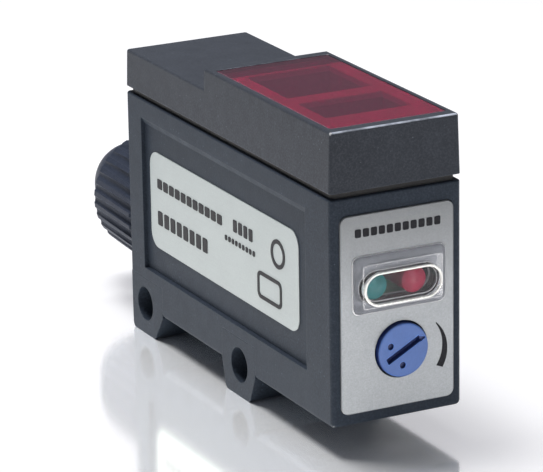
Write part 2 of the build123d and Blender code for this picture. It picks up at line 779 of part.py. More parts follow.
# Rows of plain blocks and two outlines in place of lettering. Each row: the place of its middle
# along the label and across it, the blocks' pitch and count, and a block's length and height.
label_rows = (
    (-9.4, 2.4, 1.76, 11, 1.35, 1.3),
    (-11.6, -2.3, 1.9, 8, 1.35, 1.9),
    (6.0, 2.7, 1.45, 4, 1.0, 1.6),
    (5.1, 0.5, 0.97, 9, 0.62, 0.7),
)
with BuildPart() as label_marks:
    with BuildSketch(label_floor.offset(label_thickness)):
        for row_x, row_z, pitch, count, block_length, block_height in label_rows:
            with Locations((label_middle + row_x, label_middle_height + row_z)):
                with GridLocations(pitch, 0, count, 1):
                    RectangleRounded(block_length, block_height, 0.2)
        with Locations((label_middle + 15.6, label_middle_height + 2.3)):
            Circle(1.9)
            Circle(1.35, mode=Mode.SUBTRACT)
        with Locations((label_middle + 13.2, label_middle_height - 3.0)):
            RectangleRounded(6.6, 3.6, 0.9)
            RectangleRounded(5.6, 2.6, 0.5, mode=Mode.SUBTRACT)
    extrude(amount=print_thickness)
label_marks.part.label = "label_marks"
export_step(label_marks.part, "parts/label_marks.step")

# ---------------------------------------------------------------- sensitivity trimmer
slot_angle = 28
slot_length = 5.1
slot_width = 0.85
dimple_radius = 0.42
dimple_reach = 1.93
arrow_depth = 0.25
arrow_length = 0.85
arrow_start = slot_length / 2 - 0.1
cap_back = -cap_depth + running_gap
shaft_end = -4.3
rotor_radius = 1.4
rotor_end = -6.9
base_start = -4.5
base_size = 6.6


def turned(x, y):
    """A point of the trimmer's face, given along and across the slot."""
    turn = radians(slot_angle)
    return (x * cos(turn) - y * sin(turn), x * sin(turn) + y * cos(turn))


with BuildPart() as trimmer_cap:
    with BuildSketch(trimmer_face.offset(cap_back)):
        Circle(trimmer_radius)
    extrude(amount=trimmer_proud - cap_back)
    fillet(trimmer_cap.faces().sort_by(Axis.Y)[0].edges(), 0.22)
    with BuildSketch(trimmer_face.offset(shaft_end)):
        Circle(shaft_radius)
    extrude(amount=cap_back - shaft_end)
    with BuildSketch(trimmer_face.offset(trimmer_proud)):
        with Locations(Rotation(0, 0, slot_angle)):
            Rectangle(slot_length, slot_width)
    extrude(amount=-0.8, mode=Mode.SUBTRACT)
    # the slot's upper end widens into a shallow arrow tip
    with BuildSketch(trimmer_face.offset(trimmer_proud)):
        with BuildLine():
            Polyline(
                turned(arrow_start, slot_width / 2),
                turned(arrow_start, -slot_width / 2 - 0.1),
                turned(arrow_start + arrow_length, -slot_width / 2 + 0.05),
                close=True,
            )
        make_face()
    extrude(amount=-arrow_depth, mode=Mode.SUBTRACT)
    with BuildSketch(trimmer_face.offset(trimmer_proud)):
        for angle in (slot_angle + 130, slot_angle + 238):
            with Locations((dimple_reach * cos(radians(angle)), dimple_reach * sin(radians(angle)))):
                Circle(dimple_radius)
    extrude(amount=-0.45, mode=Mode.SUBTRACT)
trimmer_cap.part.label = "trimmer_cap"
export_step(trimmer_cap.part, "parts/trimmer_cap.step")

with BuildPart() as trimmer_rotor:
    with BuildSketch(trimmer_face.offset(rotor_end)):
        Circle(rotor_radius)
    extrude(amount=shaft_end - rotor_end)
trimmer_rotor.part.label = "trimmer_rotor"
export_step(trimmer_rotor.part, "parts/trimmer_rotor.step")

with BuildPart() as trimmer_base:
    with BuildSketch(trimmer_face.offset(-indicator_board_depth)):
        Rectangle(base_size, base_size)
    extrude(amount=indicator_board_depth + base_start)
    with BuildSketch(trimmer_face.offset(base_start)):
        Circle(rotor_radius + running_gap)
    extrude(amount=rotor_end - base_start - running_gap, mode=Mode.SUBTRACT)
    chamfer(trimmer_base.edges().filter_by(Axis.Y), 0.5)
trimmer_base.part.label = "trimmer_base"
export_step(trimmer_base.part, "parts/trimmer_base.step")

seal_length = seal_boss_length - 0.2
with BuildPart() as trimmer_seal:
    with BuildSketch(trimmer_face.offset(-wall - seal_length - 0.1)):
        Circle(seal_radius)
        Circle(shaft_radius + 0.05, mode=Mode.SUBTRACT)
    extrude(amount=seal_length)
    fillet(trimmer_seal.edges().filter_by(GeomType.CIRCLE), 0.2)
trimmer_seal.part.label = "trimmer_seal"
export_step(trimmer_seal.part, "parts/trimmer_seal.step")

# ---------------------------------------------------------------- head screw
washer_thickness = 0.4
screw_seat = base + counterbore_depth
with BuildPart() as head_screw:
    with BuildSketch(Plane.XY.offset(screw_seat - washer_thickness - screw_head_height)):
        with Locations((0, screw_y)):
            Circle(screw_head_radius)
    extrude(amount=screw_head_height)
    fillet(head_screw.faces().sort_by(Axis.Z)[0].edges(), 0.35)
    with BuildSketch(Plane.XY.offset(screw_seat - washer_thickness)):
        with Locations((0, screw_y)):
            Circle(screw_radius - 0.03)
    extrude(amount=screw_tip - screw_seat + washer_thickness)
    with BuildSketch(Plane.XY.offset(screw_seat - washer_thickness - screw_head_height)):
        with Locations((0, screw_y)):
            Rectangle(2.4, 0.5)
            Rectangle(0.5, 2.4)
    extrude(amount=0.8, mode=Mode.SUBTRACT)
head_screw.part.label = "head_screw"
export_step(head_screw.part, "parts/head_screw.step")

with BuildPart() as screw_seal:
    with BuildSketch(Plane.XY.offset(screw_seat - washer_thickness)):
        with Locations((0, screw_y)):
            Circle(screw_head_radius)
            Circle(screw_radius + 0.05, mode=Mode.SUBTRACT)
    extrude(amount=washer_thickness)
screw_seal.part.label = "screw_seal"
export_step(screw_seal.part, "parts/screw_seal.step")

# ---------------------------------------------------------------- cable gland
# Profiles are drawn as (distance behind the housing, radius) and turned about the gland's axis.
# The stub's thread is drawn as separate rings on its plain root.
stub_inner_end = -3.0
gland_bore = 3.2
flange_radius = 7.4
flange_end = 0.9
stub_end = 9.0
seal_seat_radius = 4.6
seal_seat_start = 3.0
oring_inner = 6.3
oring_outer = 7.05
oring_depth = 0.5
thread_root = gland_thread_radius - 0.4
thread_pitch = 1.5
thread_count = 5
nut_bore = gland_thread_radius + running_gap
nut_shoulder = 10.9

with BuildPart() as gland_body:
    with BuildSketch(gland_profile):
        with BuildLine():
            Polyline(
                (stub_inner_end, gland_bore),
                (stub_inner_end, gland_thread_radius - 0.03),
                (0, gland_thread_radius - 0.03),
                (0, oring_inner),
                (oring_depth, oring_inner),
                (oring_depth, oring_outer),
                (0, oring_outer),
                (0, flange_radius),
                (flange_end, flange_radius),
                (flange_end, thread_root),
                (stub_end, thread_root),
                (stub_end, seal_seat_radius),
                (seal_seat_start, seal_seat_radius),
                (seal_seat_start, gland_bore),
                close=True,
            )
        make_face()
    revolve(axis=gland_axis)
gland_body.part.label = "gland_body"
export_step(gland_body.part, "parts/gland_body.step")

with BuildPart() as gland_thread:
    with BuildSketch(gland_profile):
        for turn in range(thread_count):
            ring_start = flange_end + 0.3 + turn * thread_pitch
            with BuildLine():
                Polyline(
                    (ring_start, thread_root),
                    (ring_start + 0.4, gland_thread_radius),
                    (ring_start + 0.8, gland_thread_radius),
                    (ring_start + 1.2, thread_root),
                    close=True,
                )
            make_face()
    revolve(axis=gland_axis)
gland_thread.part.label = "gland_thread"
export_step(gland_thread.part, "parts/gland_thread.step")

with BuildPart() as gland_oring:
    with BuildSketch(gland_face):
        Circle(oring_outer)
        Circle(oring_inner, mode=Mode.SUBTRACT)
    extrude(amount=oring_depth)
gland_oring.part.label = "gland_oring"
export_step(gland_oring.part, "parts/gland_oring.step")

seal_end = 9.7
with BuildPart() as gland_seal:
    with BuildSketch(gland_profile):
        with BuildLine():
            Polyline(
                (seal_seat_start, cable_radius),
                (seal_seat_start, seal_seat_radius - 0.03),
                (stub_end, seal_seat_radius - 0.03),
                (seal_end, seal_seat_radius - 0.7),
                (seal_end, cable_radius),
                close=True,
            )
        make_face()
    revolve(axis=gland_axis)
gland_seal.part.label = "gland_seal"
export_step(gland_seal.part, "parts/gland_seal.step")

with BuildPart() as clamp_ring:
    with BuildSketch(gland_profile):
        with BuildLine():
            Polyline(
                (seal_end + 0.05, 3.0),
                (seal_end + 0.05, 5.6),
                (nut_shoulder - running_gap, 5.6),
                (nut_shoulder - running_gap, 3.4),
                close=True,
            )
        make_face()
    revolve(axis=gland_axis)
clamp_ring.part.label = "clamp_ring"
export_step(clamp_ring.part, "parts/clamp_ring.step")

nose_centre = nut_rib_end + 0.6
nut_end = nut_rib_end + nose_length
mouth_round = 0.4
# the nose is an ellipse that would close at this distance and is cut off at its mouth
mouth_edge = nut_mouth_radius + mouth_round
nose_half_axis = (nut_end - nose_centre) / sqrt(1 - (mouth_edge / nose_radius) ** 2)
flute_depth = 0.6
flute_radius = 0.62
nut_plane = gland_face.offset(nut_start)
nut_length = nut_rib_end - nut_start

with BuildPart() as gland_nut:
    # fluted grip, tapering a little towards the rear
    with BuildSketch(nut_plane):
        Circle(nut_tip_radius + 0.1)
        with PolarLocations(nut_tip_radius + flute_radius - flute_depth, nut_rib_count):
            Circle(flute_radius, mode=Mode.SUBTRACT)
    extrude(amount=nut_length)
    with BuildSketch(gland_profile):
        with BuildLine():
            Polyline(
                (nut_start, 0),
                (nut_start, nut_tip_radius - 0.4),
                (nut_start + 0.4, nut_tip_radius),
                (nut_rib_end - 0.3, nut_end_tip_radius),
                (nut_rib_end, nut_end_tip_radius - 0.35),
                (nut_rib_end, 0),
                close=True,
            )
        make_face()
    revolve(axis=gland_axis, mode=Mode.INTERSECT)
    # smooth nose
    with BuildSketch(gland_profile):
        with BuildLine():
            Polyline(
                (nose_centre + nose_half_axis, 0),
                (nut_rib_end - 2, 0),
                (nut_rib_end - 2, nose_radius + 1.0),
                (nut_rib_end, nose_radius + 0.9),
                (nose_centre, nose_radius),
            )
            nose_axes = (nose_half_axis, nose_radius)
            EllipticalCenterArc((nose_centre, 0), *nose_axes, start_angle=0, arc_size=90)
        make_face()
    revolve(axis=gland_axis)
    # threaded bore, shoulder and mouth
    with BuildSketch(gland_profile):
        with BuildLine():
            Polyline(
                (nut_start - 1, 0),
                (nut_start - 1, nut_bore),
                (nut_shoulder, nut_bore),
                (nut_shoulder, 5.0),
                (nut_end - 2.5, nut_mouth_radius),
                (nut_end - mouth_round, nut_mouth_radius),
                (nut_end, nut_mouth_radius + mouth_round),
                (nut_end, nose_radius + 2),
                (nose_centre + nose_half_axis + 1, nose_radius + 2),
                (nose_centre + nose_half_axis + 1, 0),
                close=True,
            )
        make_face()
    revolve(axis=gland_axis, mode=Mode.SUBTRACT)
gland_nut.part.label = "gland_nut"
export_step(gland_nut.part, "parts/gland_nut.step")
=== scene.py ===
"""Photoelectric sensor with a cable gland: looks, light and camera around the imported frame."""
import json
from math import cos, radians, sin

import bpy
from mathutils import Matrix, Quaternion, Vector

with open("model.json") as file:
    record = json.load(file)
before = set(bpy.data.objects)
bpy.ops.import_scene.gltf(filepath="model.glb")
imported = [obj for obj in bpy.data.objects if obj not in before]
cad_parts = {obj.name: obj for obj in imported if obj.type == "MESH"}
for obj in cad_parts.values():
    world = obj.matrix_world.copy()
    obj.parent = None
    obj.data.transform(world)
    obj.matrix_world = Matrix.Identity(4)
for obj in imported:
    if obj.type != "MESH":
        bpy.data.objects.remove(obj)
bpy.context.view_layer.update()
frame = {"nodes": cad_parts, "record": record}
nodes = frame["nodes"]

MM = 0.001
# the range that noise values mostly fall in
NOISE_LOW = 0.3
NOISE_HIGH = 0.7
# cosines between a surface and its rounded normal, where the edge mask starts and is full
EDGE_START = 0.995
EDGE_FULL = 0.85
BEVEL_SAMPLES = 6


# ---------------------------------------------------------------- node helpers
def new_material(name):
    """An empty node tree with its output, as (material, tree, output)."""
    material = bpy.data.materials.new(name)
    material.use_nodes = True
    tree = material.node_tree
    tree.nodes.clear()
    output = tree.nodes.new("ShaderNodeOutputMaterial")
    return material, tree, output


def put(socket, value):
    """Links a socket to an output, or sets it to a plain value."""
    if isinstance(value, bpy.types.NodeSocket):
        socket.id_data.links.new(value, socket)
    else:
        socket.default_value = value


def place(tree):
    """Position in the object's own space, in metres."""
    return tree.nodes.new("ShaderNodeTexCoord").outputs["Object"]


def place_along(tree, axis):
    """One coordinate of the position in the object's own space, in metres."""
    split = tree.nodes.new("ShaderNodeSeparateXYZ")
    put(split.inputs["Vector"], place(tree))
    return split.outputs[axis]


def noise(tree, size, detail=2.0, roughness=0.5, stretch=(1, 1, 1), shift=0.0):
    """Smooth noise, 0 to 1, with features of about the given size in metres."""
    mapping = tree.nodes.new("ShaderNodeMapping")
    put(mapping.inputs["Vector"], place(tree))
    put(mapping.inputs["Scale"], stretch)
    put(mapping.inputs["Location"], (shift, shift, shift))
    node = tree.nodes.new("ShaderNodeTexNoise")
    put(node.inputs["Vector"], mapping.outputs["Vector"])
    put(node.inputs["Scale"], 1 / size)
    put(node.inputs["Detail"], detail)
    put(node.inputs["Roughness"], roughness)
    return node.outputs["Fac"]


def cells(tree, size):
    """Cells around scattered points, about the given size apart, as a texture node."""
    node = tree.nodes.new("ShaderNodeTexVoronoi")
    put(node.inputs["Vector"], place(tree))
    put(node.inputs["Scale"], 1 / size)
    return node


def calc(tree, operation, a, b=0.0):
    """One arithmetic step."""
    node = tree.nodes.new("ShaderNodeMath")
    node.operation = operation
    put(node.inputs[0], a)
    put(node.inputs[1], b)
    return node.outputs[0]


def remap(tree, value, old_low, old_high, low, high):
    """Takes old_low..old_high to low..high, held at both ends."""
    node = tree.nodes.new("ShaderNodeMapRange")
    put(node.inputs["Value"], value)
    put(node.inputs["From Min"], old_low)
    put(node.inputs["From Max"], old_high)
    put(node.inputs["To Min"], low)
    put(node.inputs["To Max"], high)
    return node.outputs["Result"]


def spread(tree, value, low, high):
    """Takes the usual range of a noise value to low..high, held at both ends."""
    return remap(tree, value, NOISE_LOW, NOISE_HIGH, low, high)


def blend_colour(tree, factor, a, b):
    """Colour a at factor 0, colour b at factor 1."""
    node = tree.nodes.new("ShaderNodeMix")
    node.data_type = "RGBA"
    put(node.inputs["Factor"], factor)
    put(node.inputs["A"], a)
    put(node.inputs["B"], b)
    return node.outputs["Result"]


def blend_value(tree, factor, a, b):
    """Value a at factor 0, value b at factor 1."""
    node = tree.nodes.new("ShaderNodeMix")
    put(node.inputs["Factor"], factor)
    put(node.inputs["A"], a)
    put(node.inputs["B"], b)
    return node.outputs["Result"]


def shade(colour, factor):
    """The colour, made lighter or darker."""
    return tuple(channel * factor for channel in colour[:3]) + (1.0,)


def alignment(tree, a, b):
    """Cosine between two directions."""
    node = tree.nodes.new("ShaderNodeVectorMath")
    node.operation = "DOT_PRODUCT"
    put(node.inputs[0], a)
    put(node.inputs[1], b)
    return node.outputs["Value"]


def soft_edges(tree, radius):
    """(normal with rounded edges, mask that is 1 along the edges)."""
    bevel = tree.nodes.new("ShaderNodeBevel")
    bevel.samples = BEVEL_SAMPLES
    put(bevel.inputs["Radius"], radius)
    normal = bevel.outputs["Normal"]
    geometry = tree.nodes.new("ShaderNodeNewGeometry")
    cosine = alignment(tree, normal, geometry.outputs["Normal"])
    return normal, remap(tree, cosine, EDGE_START, EDGE_FULL, 0.0, 1.0)


def facing(tree, normal, direction, width):
    """Mask that is 1 where the surface faces one direction, fading out over the given width."""
    cosine = alignment(tree, normal, Vector(direction).normalized())
    return remap(tree, cosine, 1.0 - width, 1.0 - width / 3, 0.0, 1.0)


def relief(tree, height, depth, normal):
    """Normal with small relief of the given depth in metres on it."""
    node = tree.nodes.new("ShaderNodeBump")
    put(node.inputs["Height"], height)
    put(node.inputs["Distance"], depth)
    put(node.inputs["Normal"], normal)
    return node.outputs["Normal"]


def principled(tree, output, colour, roughness, normal):
    """The shader itself, linked to the material's output."""
    shader = tree.nodes.new("ShaderNodeBsdfPrincipled")
    put(shader.inputs["Base Color"], colour)
    put(shader.inputs["Roughness"], roughness)
    put(shader.inputs["Normal"], normal)
    put(output.inputs["Surface"], shader.outputs["BSDF"])
    return shader


# ---------------------------------------------------------------- materials
def moulded_plastic(
    name, colour, roughness, grain, grain_depth, edge=0.12 * MM, speck=0.0, wear_and_highlight=1.35, painted_highlights=()
):
    """Moulded plastic: eroded grain, faint flow marks and blotches, specks, smoother edges made
    lighter by wear and a painted highlight.

    grain and grain_depth are the size and height of the moulded grain, edge is the width of the
    worn edges and the lightening factor how much lighter they are, partly wear and partly a painted
    highlight, and speck is the strength of the pale specks. The highlight list gives (direction,
    width, colour) for edges facing each direction, which get a painted highlight.
    """
    flow_size = 9 * MM
    flow_stretch = (1.0, 0.35, 1.0)
    flow_depth = 0.02 * MM
    blotch_size = 2.2 * MM
    speck_spacing = 0.8 * MM
    speck_patch = 4 * MM
    wear_patch = 1.6 * MM
    gloss_patch = 2.5 * MM
    gloss_range = 0.06
    material, tree, output = new_material(name)
    normal, edges = soft_edges(tree, edge)
    flow = noise(tree, flow_size, detail=3.0, stretch=flow_stretch)
    fine = noise(tree, grain, detail=4.0, roughness=0.6)
    base = blend_colour(tree, spread(tree, flow, 0.0, 1.0), shade(colour, 0.9), shade(colour, 1.08))
    base = blend_colour(tree, remap(tree, fine, 0.42, 0.7, 0.0, 0.9), base, shade(colour, 1.6))
    blotch = noise(tree, blotch_size, detail=4.0, roughness=0.6, shift=0.2)
    base = blend_colour(tree, remap(tree, blotch, 0.62, 0.3, 0.0, 0.32), base, shade(colour, 0.78))
    if speck:
        distance = cells(tree, speck_spacing).outputs["Distance"]
        dots = remap(tree, distance, 0.14, 0.04, 0.0, speck)
        rare = remap(tree, noise(tree, speck_patch, shift=0.3), 0.46, 0.6, 0.0, 1.0)
        base = blend_colour(tree, calc(tree, "MULTIPLY", dots, rare), base, shade(colour, 5.0))
    patchy = remap(tree, noise(tree, wear_patch, detail=3.0), 0.35, 0.65, 0.3, 1.0)
    wear_and_highlight_mask = calc(tree, "MULTIPLY", edges, patchy)
    # edges made lighter: partly wear, partly a painted highlight
    base = blend_colour(tree, calc(tree, "MULTIPLY", wear_and_highlight_mask, 0.7), base, shade(colour, wear_and_highlight))
    # painted highlights on edges that face the given directions
    for direction, width, bright in painted_highlights:
        highlight_mask = calc(tree, "MULTIPLY", facing(tree, normal, direction, width), patchy)
        base = blend_colour(tree, highlight_mask, base, bright)
    patch = noise(tree, gloss_patch, detail=3.0, shift=0.1)
    rough = spread(tree, patch, roughness - gloss_range, roughness + gloss_range)
    rough = calc(tree, "SUBTRACT", rough, calc(tree, "MULTIPLY", wear_and_highlight_mask, 0.12))
    normal = relief(tree, flow, flow_depth, normal)
    normal = relief(tree, fine, grain_depth, normal)
    shader = principled(tree, output, base, rough, normal)
    put(shader.inputs["Specular IOR Level"], 0.05)
    return material


def plastic_with_painted_shade(name, face_colour, painted_shade_colour, face_y):
    """Plastic that is pale on the face at face_y, with painted shade in every cut and down the
    side, and a painted highlight along the rim of the face.
    """
    edge = 0.2 * MM
    fade_start = face_y + 0.04 * MM
    fade_end = face_y + 0.2 * MM
    flow_size = 2.2 * MM
    grain = 0.3 * MM
    grain_depth = 0.006 * MM
    material, tree, output = new_material(name)
    normal, edges = soft_edges(tree, edge)
    # painted shade: darker colour from just behind the face, down the side wall and in the cuts
    depth = remap(tree, place_along(tree, "Y"), fade_start, fade_end, 0.0, 1.0)
    flow = noise(tree, flow_size, detail=3.0)
    fine = noise(tree, grain, detail=4.0)
    pale = blend_colour(tree, flow, shade(face_colour, 0.86), shade(face_colour, 1.14))
    shaded_tone = blend_colour(tree, flow, shade(painted_shade_colour, 0.8), shade(painted_shade_colour, 1.2))
    base = blend_colour(tree, depth, pale, shaded_tone)
    grains = remap(tree, fine, 0.45, 0.8, 0.0, 0.4)
    base = blend_colour(tree, grains, base, shade(face_colour, 1.3))
    face = calc(tree, "SUBTRACT", 1.0, depth)
    # painted highlight along the rim of the face
    rim_highlight = calc(tree, "MULTIPLY", calc(tree, "MULTIPLY", edges, face), 0.8)
    base = blend_colour(tree, rim_highlight, base, shade(face_colour, 2.2))
    rough = spread(tree, fine, 0.3, 0.42)
    shader = principled(tree, output, base, rough, relief(tree, fine, grain_depth, normal))
    put(shader.inputs["Specular IOR Level"], 0.4)
    return material


def rubber(name, colour):
    """Soft dull rubber with a powdery bloom."""
    edge = 0.1 * MM
    bloom_size = 0.8 * MM
    grain = 0.15 * MM
    grain_depth = 0.012 * MM
    material, tree, output = new_material(name)
    normal, edges = soft_edges(tree, edge)
    bloom = noise(tree, bloom_size, detail=4.0)
    base = blend_colour(tree, remap(tree, bloom, 0.4, 0.7, 0.0, 0.6), colour, shade(colour, 1.7))
    base = blend_colour(tree, calc(tree, "MULTIPLY", edges, 0.3), base, shade(colour, 1.6))
    rough = spread(tree, bloom, 0.72, 0.88)
    principled(tree, output, base, rough, relief(tree, noise(tree, grain), grain_depth, normal))
    return material


def see_through(
    name, tint, roughness, ior, dust_and_highlight_colour, shadow_tint, edge=0.08 * MM, edge_highlight=0.0, haze=0.02
):
    """Clear or tinted plastic: faint dust, polishing waviness, edges painted pale as a highlight.

    Lamps shine through it in shadow_tint. The edge highlight factor is how opaque and pale the
    edges are, a painted highlight, and haze how opaque the rest is.
    """
    dust_size = 0.35 * MM
    gloss_patch = 3 * MM
    wave_size = 5 * MM
    wave_depth = 0.01 * MM
    material, tree, output = new_material(name)
    normal, edges = soft_edges(tree, edge)
    dust = noise(tree, dust_size, detail=5.0, roughness=0.7)
    base = blend_colour(tree, remap(tree, dust, 0.45, 0.8, 0.0, 0.3), tint, dust_and_highlight_colour)
    # edges painted pale as a highlight, in the dust colour
    base = blend_colour(tree, edges, base, dust_and_highlight_colour)
    patch = noise(tree, gloss_patch, detail=3.0)
    rough = remap(tree, patch, 0.35, 0.65, roughness, roughness + 0.04)
    rough = calc(tree, "ADD", rough, calc(tree, "MULTIPLY", edges, 0.1))
    wavy = relief(tree, noise(tree, wave_size), wave_depth, normal)
    glass = principled(tree, output, base, rough, wavy)
    # edges made opaque and pale: a painted highlight
    painted_edge_highlight = calc(tree, "MULTIPLY", edges, edge_highlight)
    hazed = calc(tree, "ADD", painted_edge_highlight, spread(tree, dust, haze * 0.7, haze * 1.3))
    put(glass.inputs["Transmission Weight"], calc(tree, "SUBTRACT", 1.0, hazed))
    put(glass.inputs["IOR"], ior)
    clear = tree.nodes.new("ShaderNodeBsdfTransparent")
    put(clear.inputs["Color"], shadow_tint)
    path = tree.nodes.new("ShaderNodeLightPath")
    mix = tree.nodes.new("ShaderNodeMixShader")
    put(mix.inputs["Fac"], path.outputs["Is Shadow Ray"])
    put(mix.inputs[1], glass.outputs["BSDF"])
    put(mix.inputs[2], clear.outputs["BSDF"])
    put(output.inputs["Surface"], mix.outputs["Shader"])
    return material


def coloured_lens(name, colour, glow):
    """Solid coloured light guide: glossy, uneven in depth, a little light scattered inside.

    glow is the colour along its edges.
    """
    edge = 0.15 * MM
    cloud_size = 1.2 * MM
    cloud_depth = 0.01 * MM
    scatter_reach = 0.8 * MM
    material, tree, output = new_material(name)
    normal, edges = soft_edges(tree, edge)
    cloud = noise(tree, cloud_size, detail=3.0)
    clouds = spread(tree, cloud, 0.0, 1.0)
    base = blend_colour(tree, clouds, shade(colour, 0.8), shade(colour, 1.15))
    base = blend_colour(tree, calc(tree, "MULTIPLY", edges, 0.5), base, glow)
    rough = spread(tree, cloud, 0.16, 0.26)
    shader = principled(tree, output, base, rough, relief(tree, cloud, cloud_depth, normal))
    put(shader.inputs["Subsurface Weight"], 0.35)
    put(shader.inputs["Subsurface Radius"], (1.0, 1.0, 1.0))
    put(shader.inputs["Subsurface Scale"], scatter_reach)
    put(shader.inputs["Specular IOR Level"], 0.25)
    return material


def silver_film(
    name, colour, metallic, flake_size, flake_gain, roughness, scratch_stretch, painted_top_shade=None
):
    """Silver printed film: fine metal flakes, faint long scratches and slightly lifted edges.

    The shade setting holds (height, height, factor): painted shade darkens the film towards the
    second height.
    """
    edge = 0.08 * MM
    grain = 0.18 * MM
    grain_depth = 0.006 * MM
    scratch_size = 0.12 * MM
    cloud_size = 7 * MM
    material, tree, output = new_material(name)
    normal, edges = soft_edges(tree, edge)
    flake = tree.nodes.new("ShaderNodeSeparateColor")
    put(flake.inputs["Color"], cells(tree, flake_size).outputs["Color"])
    sparkle = remap(tree, flake.outputs["Red"], 0.0, 1.0, -flake_gain, flake_gain)
    fine = noise(tree, grain, detail=3.0)
    lines = noise(tree, scratch_size, detail=2.0, stretch=scratch_stretch)
    cloud = noise(tree, cloud_size, detail=2.0)
    level = calc(tree, "ADD", sparkle, spread(tree, fine, 0.42, 0.58))
    level = calc(tree, "ADD", level, spread(tree, cloud, -0.06, 0.06))
    level = calc(tree, "ADD", level, remap(tree, lines, 0.62, 0.8, 0.0, 0.12))
    base = blend_colour(tree, level, shade(colour, 0.78), shade(colour, 1.22))
    base = blend_colour(tree, calc(tree, "MULTIPLY", edges, 0.5), base, shade(colour, 1.2))
    if painted_top_shade:
        # painted shade: the film darkens towards the second height
        bright_height, dim_height, factor = painted_top_shade
        painted_shade_mask = remap(tree, place_along(tree, "Z"), bright_height, dim_height, 0.0, 1.0)
        base = blend_colour(tree, painted_shade_mask, base, shade(colour, factor))
    rough = remap(tree, lines, 0.3, 0.8, roughness + 0.05, roughness - 0.08)
    shader = principled(tree, output, base, rough, relief(tree, fine, grain_depth, normal))
    put(shader.inputs["Metallic"], metallic)
    return material


def ink(name, colour):
    """Screen-printed ink of slightly uneven density, with soft edges."""
    edge = 0.04 * MM
    density_size = 0.3 * MM
    density_depth = 0.006 * MM
    material, tree, output = new_material(name)
    normal, _ = soft_edges(tree, edge)
    density = noise(tree, density_size, detail=4.0)
    thin = remap(tree, density, 0.45, 0.75, 0.0, 0.6)
    base = blend_colour(tree, thin, colour, shade(colour, 2.2))
    rough = spread(tree, density, 0.5, 0.65)
    shader = principled(tree, output, base, rough, relief(tree, density, density_depth, normal))
    put(shader.inputs["Specular IOR Level"], 0.12)
    return material


def turned_metal(name, colour, roughness):
    """Zinc-plated screw: cloudy plating, fine tool marks and dulled edges."""
    edge = 0.08 * MM
    cloud_size = 0.9 * MM
    mark_size = 0.1 * MM
    mark_stretch = (1.0, 1.0, 6.0)
    mark_depth = 0.008 * MM
    material, tree, output = new_material(name)
    normal, edges = soft_edges(tree, edge)
    cloud = noise(tree, cloud_size, detail=4.0)
    marks = noise(tree, mark_size, stretch=mark_stretch)
    base = blend_colour(tree, cloud, shade(colour, 0.8), shade(colour, 1.1))
    base = blend_colour(tree, calc(tree, "MULTIPLY", edges, 0.5), base, shade(colour, 0.7))
    rough = spread(tree, marks, roughness - 0.07, roughness + 0.1)
    shader = principled(tree, output, base, rough, relief(tree, marks, mark_depth, normal))
    put(shader.inputs["Metallic"], 1.0)
    return material


def circuit_board(name, colour, copper):
    """Solder mask over copper tracks, with pads showing through."""
    edge = 0.05 * MM
    tracks_per_metre = 420.0
    track_gap = 0.06
    pad_spacing = 1.8 * MM
    copper_depth = 0.02 * MM
    material, tree, output = new_material(name)
    normal, edges = soft_edges(tree, edge)
    brick = tree.nodes.new("ShaderNodeTexBrick")
    put(brick.inputs["Vector"], place(tree))
    put(brick.inputs["Scale"], tracks_per_metre)
    put(brick.inputs["Mortar Size"], track_gap)
    put(brick.inputs["Color1"], colour)
    put(brick.inputs["Color2"], shade(colour, 1.25))
    put(brick.inputs["Mortar"], shade(colour, 1.9))
    pads = remap(tree, cells(tree, pad_spacing).outputs["Distance"], 0.16, 0.12, 0.0, 1.0)
    base = blend_colour(tree, pads, brick.outputs["Color"], copper)
    base = blend_colour(tree, calc(tree, "MULTIPLY", edges, 0.6), base, shade(colour, 2.4))
    rough = blend_value(tree, pads, 0.32, 0.25)
    height = calc(tree, "ADD", brick.outputs["Fac"], pads)
    principled(tree, output, base, rough, relief(tree, height, copper_depth, normal))
    return material


dark_grey = (0.019, 0.0245, 0.034, 1.0)
head_grey = (0.028, 0.0315, 0.039, 1.0)
gland_grey = (0.018, 0.022, 0.033, 1.0)
black = (0.012, 0.012, 0.014, 1.0)

# edges facing these directions get a painted highlight
front_right_edge = (0.8, -0.6, 0.0)
front_top_edge = (0.0, -0.7, 0.7)
front_left_corner = (-0.6, -0.55, 0.6)
trimmer_face_y = min(vertex.co.y for vertex in nodes["trimmer_cap"].data.vertices)

